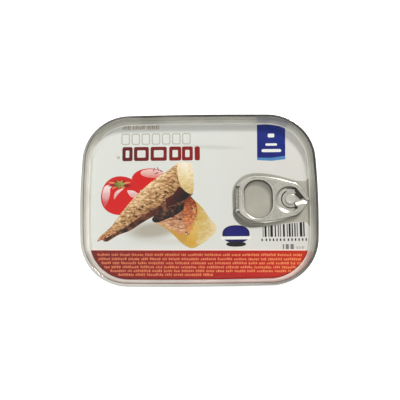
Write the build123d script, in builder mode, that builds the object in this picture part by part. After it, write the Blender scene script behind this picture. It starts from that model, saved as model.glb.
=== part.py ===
from build123d import *
import math
import os

# Shut ring-pull fish tin: a shallow drawn can, a seamed easy-open end and its
# pull tab. Millimetres, +Z up, origin under the middle of the base, +X along
# the tin towards the nose of the tab.

# ---- plan outline of the double seam: four tangent arc pairs ----
LENGTH = 106.0          # over the seam
WIDTH = 77.6            # over the seam
HEIGHT = 24.0           # base to seam top
CORNER_R = 21.3
LONG_SIDE_R = 1856.0    # the long sides are almost straight
SHORT_SIDE_R = 339.0    # the ends bow a little

# ---- double seam and easy-open end ----
SEAM_H = 3.0            # height of the rolled seam
SEAM_T = 1.5            # seam width at its top
SEAM_ROLL = 0.65        # radius of the seam's upper roll
SHEET = 0.3             # end metal
PANEL_DEPTH = 3.8       # seam top down to the panel
GROOVE_IN = 3.2         # seam edge to the middle of the countersink groove
GROOVE_R = 0.65
GROOVE_AXIS = 4.2       # seam top down to the groove's axis
EDGE_R = 0.6            # roll from the groove up onto the panel
EDGE_AXIS = 4.4

# ---- drawn can ----
WALL_IN = 1.2           # seam edge in to the can wall
WALL_TAPER = 0.5        # degrees
STEP_Z = 4.6            # stacking step above the base
STEP_IN = 1.1
BASE_R = 2.6            # wall to base
BASE_RING = 4.0         # width of the ring that the tin stands on
BASE_RECESS = 0.8
BEAD_R = 0.7            # expansion bead round the recessed base
BEAD_IN = 8.0

# ---- rivet ----
RIVET_X, RIVET_Y = 41.0, -0.2
BOSS_R = 2.7
STEM_R = 1.55
HEAD_R = 2.4
HEAD_H = 0.45
DIMPLE_R = 1.7

# ---- pull tab ----
TAB_LIFT = 0.5          # panel to the tab's underside
TAB_T = 1.3             # over the hemmed edge
WEB_T = 0.45            # single sheet round the rivet
TAB_Y = -0.25           # middle line of the tab
TAB_END_X = 16.2        # finger end
TAB_TIP_X = 49.5        # nose
TAB_WIDE_X, TAB_HALF = 27.0, 11.0
TAB_NECK_X, TAB_NECK = 44.2, 7.5
LIP_HALF = 5.4          # half the straight finger lip
HOLE_X, HOLE_L, HOLE_W, HOLE_R = 26.45, 12.2, 17.0, 5.8
WELL_X, WELL_R = 40.3, 6.0
SLOT_IN, SLOT_OUT = 3.2, 4.0
SLOT_HALF_GAP = 52.0    # degrees each side of the nose left uncut
RIVET_BORE_R = 1.6

PANEL_Z = HEIGHT - PANEL_DEPTH
TAB_Z = PANEL_Z + TAB_LIFT
TAB_TOP = TAB_Z + TAB_T
WEB_TOP = TAB_Z + WEB_T


def outline(inset):
    """The plan outline moved inwards by inset, as points on tangent arcs.
    The three arcs' centres stay where they are, so every outline is parallel."""
    a, b = LENGTH / 2, WIDTH / 2
    c1 = (0.0, b - LONG_SIDE_R)
    c2 = (a - SHORT_SIDE_R, 0.0)
    r1, r2 = LONG_SIDE_R - CORNER_R, SHORT_SIDE_R - CORNER_R
    dx, dy = c2[0] - c1[0], c2[1] - c1[1]
    d = math.hypot(dx, dy)
    along = (r1 * r1 - r2 * r2 + d * d) / (2 * d)
    off = math.sqrt(r1 * r1 - along * along)
    cx = c1[0] + along * dx / d - off * dy / d
    cy = c1[1] + along * dy / d + off * dx / d
    if cx < 0 or cy < 0:
        cx = c1[0] + along * dx / d + off * dy / d
        cy = c1[1] + along * dy / d - off * dx / d
    n1 = ((cx - c1[0]) / r1, (cy - c1[1]) / r1)
    n2 = ((cx - c2[0]) / r2, (cy - c2[1]) / r2)
    r = CORNER_R - inset
    t1 = (cx + r * n1[0], cy + r * n1[1])
    t2 = (cx + r * n2[0], cy + r * n2[1])
    m = (n1[0] + n2[0], n1[1] + n2[1])
    k = r / math.hypot(*m)
    mid = (cx + k * m[0], cy + k * m[1])
    return t1, mid, t2, (a - inset, 0.0), (0.0, b - inset)


def outline_lines(inset):
    """Eight arcs, drawn in the BuildLine block that calls this."""
    t1, mid, t2, end, top = outline(inset)
    flip = lambda p, sx, sy: (sx * p[0], sy * p[1])
    ThreePointArc(flip(t1, -1, 1), top, t1)
    ThreePointArc(t1, mid, t2)
    ThreePointArc(t2, end, flip(t2, 1, -1))
    ThreePointArc(flip(t2, 1, -1), flip(mid, 1, -1), flip(t1, 1, -1))
    ThreePointArc(flip(t1, 1, -1), flip(top, 1, -1), flip(t1, -1, -1))
    ThreePointArc(flip(t1, -1, -1), flip(mid, -1, -1), flip(t2, -1, -1))
    ThreePointArc(flip(t2, -1, -1), flip(end, -1, 1), flip(t2, -1, 1))
    ThreePointArc(flip(t2, -1, 1), flip(mid, -1, 1), flip(t1, -1, 1))


def on_circle(c, r, deg):
    return (c[0] + r * math.cos(math.radians(deg)), c[1] + r * math.sin(math.radians(deg)))


# ------------------------------------------------------------------ lid ----
# Cross-section in (inset, height below the seam top).
groove = (GROOVE_IN, -GROOVE_AXIS)
gap = GROOVE_R + EDGE_R
edge = (GROOVE_IN + math.sqrt(gap ** 2 - (EDGE_AXIS - GROOVE_AXIS) ** 2), -EDGE_AXIS)
to_edge = math.degrees(math.atan2(edge[1] - groove[1], edge[0] - groove[0]))
chuck_top = (SEAM_T, -SEAM_ROLL)
reach = math.hypot(chuck_top[0] - groove[0], chuck_top[1] - groove[1])
chuck_deg = (math.degrees(math.atan2(chuck_top[1] - groove[1], chuck_top[0] - groove[0]))
             + math.degrees(math.acos(GROOVE_R / reach)))
chuck_low = on_circle(groove, GROOVE_R, chuck_deg)
under_r = GROOVE_R + SHEET
back_low = on_circle(groove, under_r, chuck_deg)
slope = (chuck_top[0] - chuck_low[0]) / (chuck_top[1] - chuck_low[1])
back_top = (back_low[0] + slope * (-SEAM_H - back_low[1]), -SEAM_H)
flat_in = edge[0] + 0.6
seam_foot = 0.3

with BuildPart() as lid:
    start = Plane(origin=(0, WIDTH / 2, HEIGHT), x_dir=(0, -1, 0), z_dir=(-1, 0, 0))
    with BuildSketch(start) as rim_section:
        with BuildLine():
            ThreePointArc((0, -SEAM_ROLL), on_circle((SEAM_ROLL, -SEAM_ROLL), SEAM_ROLL, 135), (SEAM_ROLL, 0))
            Line((SEAM_ROLL, 0), (SEAM_T - SEAM_ROLL, 0))
            ThreePointArc((SEAM_T - SEAM_ROLL, 0), on_circle((SEAM_T - SEAM_ROLL, -SEAM_ROLL), SEAM_ROLL, 45), chuck_top)
            Line(chuck_top, chuck_low)
            ThreePointArc(chuck_low, on_circle(groove, GROOVE_R, 270), on_circle(groove, GROOVE_R, to_edge))
            ThreePointArc(on_circle(edge, EDGE_R, to_edge + 180), on_circle(edge, EDGE_R, 135), (edge[0], -PANEL_DEPTH))
            Line((edge[0], -PANEL_DEPTH), (flat_in, -PANEL_DEPTH))
            Line((flat_in, -PANEL_DEPTH), (flat_in, -PANEL_DEPTH - SHEET))
            Line((flat_in, -PANEL_DEPTH - SHEET), (edge[0], -PANEL_DEPTH - SHEET))
            ThreePointArc((edge[0], -PANEL_DEPTH - SHEET), on_circle(edge, EDGE_R - SHEET, 135), on_circle(edge, EDGE_R - SHEET, to_edge + 180))
            ThreePointArc(on_circle(groove, under_r, to_edge), on_circle(groove, under_r, 270), back_low)
            Line(back_low, back_top)
            Line(back_top, (seam_foot, -SEAM_H))
            ThreePointArc((seam_foot, -SEAM_H), on_circle((seam_foot, -SEAM_H + seam_foot), seam_foot, 225), (0, -SEAM_H + seam_foot))
            Line((0, -SEAM_H + seam_foot), (0, -SEAM_ROLL))
        make_face()
    with BuildLine(Plane.XY.offset(HEIGHT)) as rim_path:
        outline_lines(0.0)
    sweep(path=rim_path.wires()[0])
    # the flat panel closes the end
    with BuildSketch(Plane.XY.offset(PANEL_Z - SHEET)):
        with BuildLine():
            outline_lines(flat_in - 0.1)
        make_face()
    extrude(amount=SHEET)
    # the rivet is drawn out of the panel: boss, stem and flattened head
    with BuildSketch(Plane.XY.offset(PANEL_Z)):
        with Locations((RIVET_X, RIVET_Y)):
            Circle(BOSS_R)
    extrude(amount=TAB_LIFT)
    with BuildSketch(Plane.XY.offset(TAB_Z)):
        with Locations((RIVET_X, RIVET_Y)):
            Circle(STEM_R)
    extrude(amount=WEB_T)
    with BuildSketch(Plane.XY.offset(WEB_TOP)):
        with Locations((RIVET_X, RIVET_Y)):
            Circle(HEAD_R)
    extrude(amount=HEAD_H)
    head_rim = lid.faces().sort_by(Axis.Z).filter_by(Plane.XY).filter_by(
        lambda f: abs(f.center().Z - WEB_TOP - HEAD_H) < 1e-4 and f.area < 40)
    chamfer(head_rim.edges(), length=0.2)
    with BuildSketch(Plane.XY.offset(WEB_TOP + HEAD_H)):
        with Locations((RIVET_X, RIVET_Y)):
            Circle(DIMPLE_R)
    extrude(amount=-0.2, taper=35, mode=Mode.SUBTRACT)

# ------------------------------------------------------------- can body ----
WALL_TOP = HEIGHT - SEAM_H
step_top = STEP_Z + STEP_IN

with BuildPart() as can_body:
    # foot below the stacking step
    with BuildSketch(Plane.XY):
        with BuildLine():
            outline_lines(WALL_IN + STEP_IN + 0.35)
        make_face()
    extrude(amount=STEP_Z, taper=-WALL_TAPER)
    fillet(can_body.edges().group_by(Axis.Z)[0], radius=BASE_R)
    # sloping step out to the full wall
    with BuildSketch(Plane.XY.offset(STEP_Z)):
        with BuildLine():
            outline_lines(WALL_IN + STEP_IN + 0.3)
        make_face()
    with BuildSketch(Plane.XY.offset(step_top)):
        with BuildLine():
            outline_lines(WALL_IN + 0.15)
        make_face()
    loft(ruled=True)
    # wall, up under the seam
    with BuildSketch(Plane.XY.offset(step_top)):
        with BuildLine():
            outline_lines(WALL_IN + 0.15)
        make_face()
    extrude(amount=WALL_TOP - step_top, taper=-WALL_TAPER)
    # recessed base with an expansion bead, inside the ring it stands on
    with BuildSketch(Plane.XY):
        with BuildLine():
            outline_lines(WALL_IN + STEP_IN + 0.35 + BASE_R + BASE_RING)
        make_face()
    extrude(amount=BASE_RECESS, taper=30, mode=Mode.SUBTRACT)
    bead_start = Plane(origin=(0, WIDTH / 2, BASE_RECESS), x_dir=(0, -1, 0), z_dir=(-1, 0, 0))
    with BuildSketch(bead_start):
        with Locations((BEAD_IN + 6.5, BEAD_R - 0.6)):
            Circle(BEAD_R)
    with BuildLine(Plane.XY.offset(BASE_RECESS)) as bead_path:
        outline_lines(0.0)
    sweep(path=bead_path.wires()[0])
    # everything the end stands in or covers is cut away
    with BuildSketch(Plane.XY.offset(PANEL_Z - SHEET)):
        with BuildLine():
            outline_lines(flat_in - 0.3)
        make_face()
    extrude(amount=SHEET + PANEL_DEPTH, mode=Mode.SUBTRACT)
    with BuildSketch(start):
        with BuildLine():
            ThreePointArc(back_low, on_circle(groove, under_r, 270), on_circle(groove, under_r, to_edge))
            ThreePointArc(on_circle(edge, EDGE_R - SHEET, to_edge + 180), on_circle(edge, EDGE_R - SHEET, 135), (edge[0], -PANEL_DEPTH - SHEET))
            Line((edge[0], -PANEL_DEPTH - SHEET), (flat_in, -PANEL_DEPTH - SHEET))
            Line((flat_in, -PANEL_DEPTH - SHEET), (flat_in, 0))
            Line((flat_in, 0), (back_top[0], 0))
            Line((back_top[0], 0), back_top)
            Line(back_top, back_low)
        make_face()
    with BuildLine(Plane.XY.offset(HEIGHT)) as cut_path:
        outline_lines(0.0)
    sweep(path=cut_path.wires()[0], mode=Mode.SUBTRACT)

# ------------------------------------------------------------------ tab ----
with BuildPart() as tab:
    with BuildSketch(Plane.XY.offset(TAB_Z)) as tab_plan:
        with BuildLine():
            upper = Spline(
                (TAB_END_X, TAB_Y + LIP_HALF), (19.6, TAB_Y + 9.2), (TAB_WIDE_X - 2, TAB_Y + TAB_HALF),
                tangents=((0.25, 1.0), (1.0, 0.0)))
            Spline(upper @ 1, (34.0, TAB_Y + 10.1), (TAB_NECK_X - 1.2, TAB_Y + TAB_NECK + 0.25),
                   tangents=((1.0, 0.0), (1.0, -0.22)))
            Spline((TAB_NECK_X - 1.2, TAB_Y + TAB_NECK + 0.25), (TAB_NECK_X + 1.2, TAB_Y + TAB_NECK - 1.6),
                   (TAB_TIP_X - 0.5, TAB_Y + 0.7), tangents=((1.0, -0.22), (0.66, -0.75)))
            ThreePointArc((TAB_TIP_X - 0.5, TAB_Y + 0.7), (TAB_TIP_X, TAB_Y), (TAB_TIP_X - 0.5, TAB_Y - 0.7))
            Spline((TAB_TIP_X - 0.5, TAB_Y - 0.7), (TAB_NECK_X + 1.2, TAB_Y - TAB_NECK + 1.6),
                   (TAB_NECK_X - 1.2, TAB_Y - TAB_NECK - 0.25), tangents=((-0.66, -0.75), (-1.0, -0.22)))
            Spline((TAB_NECK_X - 1.2, TAB_Y - TAB_NECK - 0.25), (34.0, TAB_Y - 10.1),
                   (TAB_WIDE_X - 2, TAB_Y - TAB_HALF), tangents=((-1.0, -0.22), (-1.0, 0.0)))
            lower = Spline((TAB_WIDE_X - 2, TAB_Y - TAB_HALF), (19.6, TAB_Y - 9.2),
                           (TAB_END_X, TAB_Y - LIP_HALF), tangents=((-1.0, 0.0), (-0.25, 1.0)))
            Line((TAB_END_X, TAB_Y - LIP_HALF), (TAB_END_X, TAB_Y + LIP_HALF))
        make_face()
        with Locations((HOLE_X, TAB_Y)):
            RectangleRounded(HOLE_L, HOLE_W, HOLE_R, mode=Mode.SUBTRACT)
    extrude(amount=TAB_T)
    # hemmed edges: outside and round the finger hole, above and below
    rims = tab.edges().filter_by(
        lambda e: abs(e.center().Z - TAB_Z) < 1e-4 or abs(e.center().Z - TAB_TOP) < 1e-4)
    fillet(rims, radius=0.4)
    # round well with the single sheet left at its bottom
    with BuildSketch(Plane.XY.offset(TAB_TOP)):
        with Locations((WELL_X, TAB_Y)):
            Circle(WELL_R)
    extrude(amount=-(TAB_T - WEB_T), taper=25, mode=Mode.SUBTRACT)
    # bore for the rivet, and the slot that frees the tongue round it
    with BuildSketch(Plane.XY.offset(TAB_Z)):
        with Locations((RIVET_X, RIVET_Y)):
            Circle(RIVET_BORE_R)
    extrude(amount=WEB_T, mode=Mode.SUBTRACT)
    with BuildSketch(Plane.XY.offset(TAB_Z - 0.1)):
        with BuildLine():
            centre = (RIVET_X, RIVET_Y)
            slot_outer = ThreePointArc(on_circle(centre, SLOT_OUT, SLOT_HALF_GAP), on_circle(centre, SLOT_OUT, 180),
                                       on_circle(centre, SLOT_OUT, 360 - SLOT_HALF_GAP))
            slot_inner = ThreePointArc(on_circle(centre, SLOT_IN, 360 - SLOT_HALF_GAP), on_circle(centre, SLOT_IN, 180),
                                       on_circle(centre, SLOT_IN, SLOT_HALF_GAP))
            Line(slot_outer @ 1, slot_inner @ 0)
            Line(slot_inner @ 1, slot_outer @ 0)
        make_face()
    extrude(amount=TAB_T, mode=Mode.SUBTRACT)
    # nicks at both ends of the curled finger lip
    for side in (1, -1):
        with BuildSketch(Plane.XY.offset(TAB_Z + 0.6)):
            with Locations((TAB_END_X + 0.5, TAB_Y + side * LIP_HALF)):
                Rectangle(1.8, 0.45, rotation=side * 25)
        extrude(amount=TAB_T, mode=Mode.SUBTRACT)

can_body.part.label = "can_body"
lid.part.label = "lid"
tab.part.label = "tab"

os.makedirs("parts", exist_ok=True)
export_step(can_body.part, "parts/can_body.step")
export_step(lid.part, "parts/lid.step")
export_step(tab.part, "parts/tab.step")
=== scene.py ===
import math
import random

import bpy
import numpy as np
from mathutils import Matrix, Vector
from mathutils.geometry import delaunay_2d_cdt


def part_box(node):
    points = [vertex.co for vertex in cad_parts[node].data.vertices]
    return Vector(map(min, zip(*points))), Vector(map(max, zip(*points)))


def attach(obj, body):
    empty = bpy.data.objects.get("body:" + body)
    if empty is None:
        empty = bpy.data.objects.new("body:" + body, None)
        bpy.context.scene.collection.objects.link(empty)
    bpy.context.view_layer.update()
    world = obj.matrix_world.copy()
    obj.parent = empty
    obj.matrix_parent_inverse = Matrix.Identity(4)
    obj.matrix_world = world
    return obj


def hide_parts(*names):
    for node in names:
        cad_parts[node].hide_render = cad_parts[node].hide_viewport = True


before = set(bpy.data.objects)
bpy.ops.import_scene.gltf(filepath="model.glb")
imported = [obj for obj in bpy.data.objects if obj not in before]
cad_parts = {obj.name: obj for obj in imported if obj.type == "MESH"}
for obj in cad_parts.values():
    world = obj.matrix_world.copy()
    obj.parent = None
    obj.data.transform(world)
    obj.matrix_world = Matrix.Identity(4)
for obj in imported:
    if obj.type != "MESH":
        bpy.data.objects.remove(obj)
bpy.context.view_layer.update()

MM = 0.001
rng = random.Random(7)

# ------------------------------------------------------------ dimensions ----
# Millimetres, in the row frame. The three CAD boxes give the overall sizes.
lid_lo, lid_hi = (np.array(v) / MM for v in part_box("lid"))
tab_lo, tab_hi = (np.array(v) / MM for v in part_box("tab"))
A, B, H = lid_hi[0], lid_hi[1], lid_hi[2]
CORNER_R, LONG_R, SHORT_R = 21.3, 1856.0, 339.0
SEAM_H, SEAM_T, SEAM_ROLL, SHEET = 3.0, 1.5, 0.65, 0.3
PANEL_Z = H - 3.8
GROOVE, GROOVE_R = np.array([3.2, H - 4.2]), 0.65
EDGE_R = 0.6
EDGE = np.array([3.2 + math.sqrt(1.25 ** 2 - 0.2 ** 2), H - 4.4])
TURN = GROOVE + (EDGE - GROOVE) * GROOVE_R / 1.25     # groove becomes panel edge
SCORE_IN = 5.05
WALL_IN = 1.2
TAB_Y = -0.25
RIVET = np.array([41.0, -0.2])


# -------------------------------------------------------------- plan line ----
def corner_centre():
    c1, c2 = np.array([0.0, B - LONG_R]), np.array([A - SHORT_R, 0.0])
    r1, r2 = LONG_R - CORNER_R, SHORT_R - CORNER_R
    d = c2 - c1
    L = math.hypot(*d)
    along = (r1 * r1 - r2 * r2 + L * L) / (2 * L)
    off = math.sqrt(r1 * r1 - along * along)
    u = d / L
    p = c1 + along * u + off * np.array([-u[1], u[0]])
    q = c1 + along * u - off * np.array([-u[1], u[0]])
    return p if p[0] > 0 and p[1] > 0 else q


C1, C2 = np.array([0.0, B - LONG_R]), np.array([A - SHORT_R, 0.0])
CC = corner_centre()
T1 = math.atan2(*(CC - C1)[::-1])
T2 = math.atan2(*(CC - C2)[::-1])


def plan_line(n_long=36, n_corner=36, n_short=24):
    """The seam's outer edge: points and outward unit normals, anticlockwise
    from the middle of the +X end. An inset moves a point against its normal."""
    spans = [(C2, SHORT_R, 0.0, T2, n_short), (CC, CORNER_R, T2, T1, n_corner), (C1, LONG_R, T1, math.pi / 2, n_long)]
    q = []
    for c, r, a, b, n in spans:
        for k in range(n):
            t = a + (b - a) * k / n
            q.append((c[0] + r * math.cos(t), c[1] + r * math.sin(t), math.cos(t), math.sin(t)))
    q.append((0.0, B, 0.0, 1.0))
    q = np.array(q)
    return np.vstack([q[:-1], (q * [-1, 1, -1, 1])[::-1][:-1], (q * [-1, -1, -1, -1])[:-1], (q * [1, -1, 1, -1])[::-1][:-1]])


LINE = plan_line()


def ring(inset, z):
    return np.c_[LINE[:, 0] - inset * LINE[:, 2], LINE[:, 1] - inset * LINE[:, 3], np.full(len(LINE), z)]


def inset_of(x, y):
    """How far a point lies inside the seam's edge, and the outward normal there."""
    sx, sy = np.where(x < 0, -1.0, 1.0), np.where(y < 0, -1.0, 1.0)
    X, Y = np.abs(x), np.abs(y)
    a = np.arctan2(Y - CC[1], X - CC[0])
    corner = (X > CC[0]) & (Y > CC[1]) | ((a > T2) & (a < T1))
    end = ~corner & (X - CC[0] > 0) & (a <= T2)
    cx = np.where(corner, CC[0], np.where(end, C2[0], C1[0]))
    cy = np.where(corner, CC[1], np.where(end, C2[1], C1[1]))
    R = np.where(corner, CORNER_R, np.where(end, SHORT_R, LONG_R))
    # deep inside, the nearer of the two sides counts
    long_in = LONG_R - np.hypot(X - C1[0], Y - C1[1])
    short_in = SHORT_R - np.hypot(X - C2[0], Y - C2[1])
    inner = ~corner
    use_short = inner & (short_in < long_in)
    cx, cy, R = np.where(use_short, C2[0], np.where(inner, C1[0], cx)), np.where(use_short, C2[1], np.where(inner, C1[1], cy)), np.where(use_short, SHORT_R, np.where(inner, LONG_R, R))
    r = np.hypot(X - cx, Y - cy)
    return R - r, sx * (X - cx) / np.maximum(r, 1e-9), sy * (Y - cy) / np.maximum(r, 1e-9)


# ------------------------------------------------------------ mesh making ----
def mesh_object(name, verts, faces, mats=(), face_mats=None, normals=None, sharp_deg=None):
    me = bpy.data.meshes.new(name)
    me.from_pydata([tuple(v) for v in np.asarray(verts, float) * MM], [], [tuple(int(i) for i in f) for f in faces])
    for m in mats:
        me.materials.append(m)
    if face_mats is not None:
        me.polygons.foreach_set("material_index", np.asarray(face_mats, np.int32))
    me.polygons.foreach_set("use_smooth", np.ones(len(me.polygons), bool))
    me.update()
    if normals is not None:
        me.normals_split_custom_set_from_vertices([tuple(v) for v in normals])
    elif sharp_deg is not None:
        me.set_sharp_from_angle(angle=math.radians(sharp_deg))
    ob = bpy.data.objects.new(name, me)
    bpy.context.scene.collection.objects.link(ob)
    return ob


def swept_ring(name, profile, mats=(), mat_of=None, closed=True, sharp_deg=40, caps=()):
    """Carries a cross-section of (inset, z) points round the plan line. caps
    lists (profile index, facing up) rings that are filled with a flat face."""
    n, m = len(LINE), len(profile)
    verts = np.vstack([ring(u, z) for u, z in profile])
    faces, fm = [], []
    for j in range(m if closed else m - 1):
        k = (j + 1) % m
        for i in range(n):
            i2 = (i + 1) % n
            faces.append((j * n + i, j * n + i2, k * n + i2, k * n + i))
            fm.append(mat_of(j) if mat_of else 0)
    for j, up in caps:
        loop = [j * n + i for i in range(n)]
        faces.append(tuple(loop if up else loop[::-1]))
        fm.append(mat_of(min(j, m - 2)) if mat_of else 0)
    return mesh_object(name, verts, faces, mats, fm, sharp_deg=sharp_deg)


def arc(c, r, a0, a1, n):
    return [(c[0] + r * math.cos(math.radians(a0 + (a1 - a0) * k / n)),
             c[1] + r * math.sin(math.radians(a0 + (a1 - a0) * k / n))) for k in range(n + 1)]


def fillet_line(points, radii, n=6):
    """An open polyline with each inner corner rounded to its radius."""
    out = [tuple(points[0])]
    for i in range(1, len(points) - 1):
        p, a, b = (np.array(points[k], float) for k in (i, i - 1, i + 1))
        r = radii[i - 1]
        u, v = (a - p) / np.linalg.norm(a - p), (b - p) / np.linalg.norm(b - p)
        half = math.acos(max(-1, min(1, float(u @ v)))) / 2
        if r <= 0 or abs(half - math.pi / 2) < 1e-3:
            out.append(tuple(p))
            continue
        t = r / math.tan(half)
        c = p + (u + v) / np.linalg.norm(u + v) * r / math.sin(half)
        s, e = p + u * t - c, p + v * t - c
        a0, a1 = math.atan2(s[1], s[0]), math.atan2(e[1], e[0])
        d = (a1 - a0 + math.pi) % (2 * math.pi) - math.pi
        out += [(c[0] + r * math.cos(a0 + d * k / n), c[1] + r * math.sin(a0 + d * k / n)) for k in range(n + 1)]
    out.append(tuple(points[-1]))
    return out


# -------------------------------------------------------------- materials ----
class Mat:
    """A small builder for node materials."""

    def __init__(self, name, rough=0.4, metallic=0.0, ior=1.5):
        self.m = bpy.data.materials.new(name)
        self.m.use_nodes = True
        self.nt = self.m.node_tree
        self.p = self.nt.nodes["Principled BSDF"]
        self.p.inputs["Metallic"].default_value = metallic
        self.p.inputs["Roughness"].default_value = rough
        self.p.inputs["IOR"].default_value = ior
        self._obj = None

    def node(self, kind, **props):
        n = self.nt.nodes.new(kind)
        for k, v in props.items():
            setattr(n, k, v)
        return n

    def link(self, a, b):
        self.nt.links.new(a, b)

    def put(self, socket, value):
        if hasattr(value, "is_output") or isinstance(value, bpy.types.NodeSocket):
            self.link(value, socket)
        else:
            socket.default_value = value

    def coords(self):
        """Object coordinates in millimetres."""
        if self._obj is None:
            tc = self.node("ShaderNodeTexCoord")
            vm = self.node("ShaderNodeVectorMath", operation="SCALE")
            self.link(tc.outputs["Object"], vm.inputs[0])
            vm.inputs["Scale"].default_value = 1 / MM
            self._obj = vm.outputs[0]
        return self._obj

    def mapped(self, loc=(0, 0, 0), rot=(0, 0, 0), scale=(1, 1, 1), vec=None):
        n = self.node("ShaderNodeMapping")
        self.link(vec or self.coords(), n.inputs["Vector"])
        n.inputs["Location"].default_value = loc
        n.inputs["Rotation"].default_value = rot
        n.inputs["Scale"].default_value = scale
        return n.outputs[0]

    def noise(self, scale, detail=2.0, rough=0.5, vec=None, distortion=0.0, colour=False):
        n = self.node("ShaderNodeTexNoise")
        self.link(vec or self.coords(), n.inputs["Vector"])
        n.inputs["Scale"].default_value = scale
        n.inputs["Detail"].default_value = detail
        n.inputs["Roughness"].default_value = rough
        n.inputs["Distortion"].default_value = distortion
        return n.outputs["Color" if colour else "Fac"]

    def voronoi(self, scale, vec=None, feature="F1", randomness=1.0):
        n = self.node("ShaderNodeTexVoronoi", feature=feature)
        self.link(vec or self.coords(), n.inputs["Vector"])
        n.inputs["Scale"].default_value = scale
        n.inputs["Randomness"].default_value = randomness
        return n

    def maths(self, op, a, b=None, c=None, clamp=False):
        n = self.node("ShaderNodeMath", operation=op, use_clamp=clamp)
        for s, v in zip(n.inputs, (a, b, c)):
            if v is not None:
                self.put(s, v)
        return n.outputs[0]

    def ramp_value(self, v, lo, hi, to_lo=0.0, to_hi=1.0, smooth=False):
        n = self.node("ShaderNodeMapRange", interpolation_type="SMOOTHSTEP" if smooth else "LINEAR")
        self.put(n.inputs["Value"], v)
        n.inputs["From Min"].default_value, n.inputs["From Max"].default_value = lo, hi
        n.inputs["To Min"].default_value, n.inputs["To Max"].default_value = to_lo, to_hi
        return n.outputs["Result"]

    def ramp(self, v, stops):
        n = self.node("ShaderNodeValToRGB")
        self.link(v, n.inputs["Fac"])
        el = n.color_ramp.elements
        while len(el) < len(stops):
            el.new(0.5)
        for e, (pos, col) in zip(el, stops):
            e.position = pos
            e.color = (*col, 1.0)
        return n.outputs["Color"]

    def mix(self, fac, a, b, blend="MIX"):
        n = self.node("ShaderNodeMix", data_type="RGBA", blend_type=blend)
        self.put(n.inputs[0], fac)
        for s, v in ((n.inputs[6], a), (n.inputs[7], b)):
            self.put(s, v if not isinstance(v, tuple) else (*v, 1.0))
        return n.outputs[2]

    def axis(self, vec, which):
        n = self.node("ShaderNodeSeparateXYZ")
        self.link(vec, n.inputs[0])
        return n.outputs[which]

    def bump(self, height, distance, strength=1.0):
        """Height in millimetres times distance."""
        n = self.node("ShaderNodeBump")
        n.inputs["Strength"].default_value = strength
        n.inputs["Distance"].default_value = distance * MM
        self.link(height, n.inputs["Height"])
        self.link(n.outputs[0], self.p.inputs["Normal"])

    def colour(self, v):
        self.put(self.p.inputs["Base Color"], v if not isinstance(v, tuple) else (*v, 1.0))
        return self


def srgb(r, g, b):
    f = lambda c: c / 255 / 12.92 if c / 255 <= 0.04045 else ((c / 255 + 0.055) / 1.055) ** 2.4
    return (f(r), f(g), f(b))


def metal(name, base, rough, grain=(1.0, 1.0, 1.0), grain_amount=0.05, scratch=0.5, wave=0.02, metallic=1.0, shaded_sides=1.0):
    """Satin lacquered sheet: faint cloudiness, fine grain and a few hairlines."""
    m = Mat(name, rough, metallic)
    cloud = m.noise(0.09, 3, 0.55)
    fine = m.noise(5.0, 3, 0.6, vec=m.mapped(scale=grain))
    lines = m.noise(1.4, 5, 0.72, vec=m.mapped(rot=(0, 0, 0.5), scale=(0.25, 9.0, 1.0)))
    lo, hi = tuple(c * 0.92 for c in base), tuple(min(1.0, c * 1.06) for c in base)
    body = m.mix(m.ramp_value(cloud, 0.35, 0.65), lo, hi)
    body = m.mix(m.ramp_value(fine, 0.42, 0.62, 0.0, 0.10 + grain_amount), body, tuple(c * 0.80 for c in base))
    if shaded_sides < 1.0:
        # painted shade: steep rolled and cut sides are darkened against the flats, by how far the surface tilts
        tc = m.node("ShaderNodeTexCoord")
        up = m.axis(tc.outputs["Normal"], 2)
        k = m.ramp_value(m.maths("ADD", up, m.maths("MULTIPLY_ADD", fine, 0.08, -0.04)), 0.55, 0.91, 1.0, 0.0)
        body = m.mix(k, body, tuple(c * shaded_sides for c in base))
    m.colour(body)
    r = m.ramp_value(cloud, 0.3, 0.7, rough - 0.04, rough + 0.05)
    r = m.maths("ADD", r, m.ramp_value(lines, 0.45, 0.7, 0.0, 0.10 * scratch))
    m.link(m.maths("ADD", r, m.ramp_value(fine, 0.35, 0.65, -0.03, 0.03)), m.p.inputs["Roughness"])
    h = m.maths("ADD", m.maths("MULTIPLY", fine, grain_amount), m.maths("MULTIPLY", lines, 0.02 * scratch))
    slow = m.noise(0.16, 1, 0.4)
    m.bump(m.maths("ADD", h, m.maths("MULTIPLY", slow, wave / 0.05)), 0.05)
    return m.m


SEAM_METAL = metal("seam_metal", (0.47, 0.46, 0.42), 0.14, (1, 1, 6), 0.05, 0.5, 0.01, 0.96)
CHUCK_METAL = metal("chuck_metal", (0.61, 0.60, 0.54), 0.38, (1, 1, 6), 0.06, 0.5, 0.01, 0.34)
GROOVE_METAL = metal("groove_metal", (0.82, 0.81, 0.75), 0.36, (1, 1, 6), 0.06, 0.5, 0.01, 0.30)
BODY_METAL = metal("body_metal", (0.70, 0.685, 0.63), 0.31, (1, 1, 0.12), 0.10, 0.8, 0.02, 0.92)
PANEL_METAL = metal("panel_metal", (0.45, 0.435, 0.365), 0.42, (0.3, 3.0, 1), 0.06, 0.6, 0.02, 0.40)
# painted shadow: dark metal for the panel strip where the tab's shadow falls
TAB_SHADOW_METAL = metal("tab_shadow_metal", (0.24, 0.235, 0.20), 0.46, (0.3, 3.0, 1), 0.10, 0.8, 0.02, 0.35)
# painted shade: near-black metal for the shade under the ring's nose and in the lip's upper nick
SHADE_METAL = metal("shade_metal", (0.10, 0.095, 0.08), 0.50, (0.3, 3.0, 1), 0.06, 0.6, 0.02, 0.40)
# painted highlight: pale metal for a glint at the lip's lower nick
HIGHLIGHT_METAL = metal("highlight_metal", (0.90, 0.885, 0.83), 0.30, (1, 1, 1), 0.04, 0.6, 0.02, 0.25)
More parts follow.
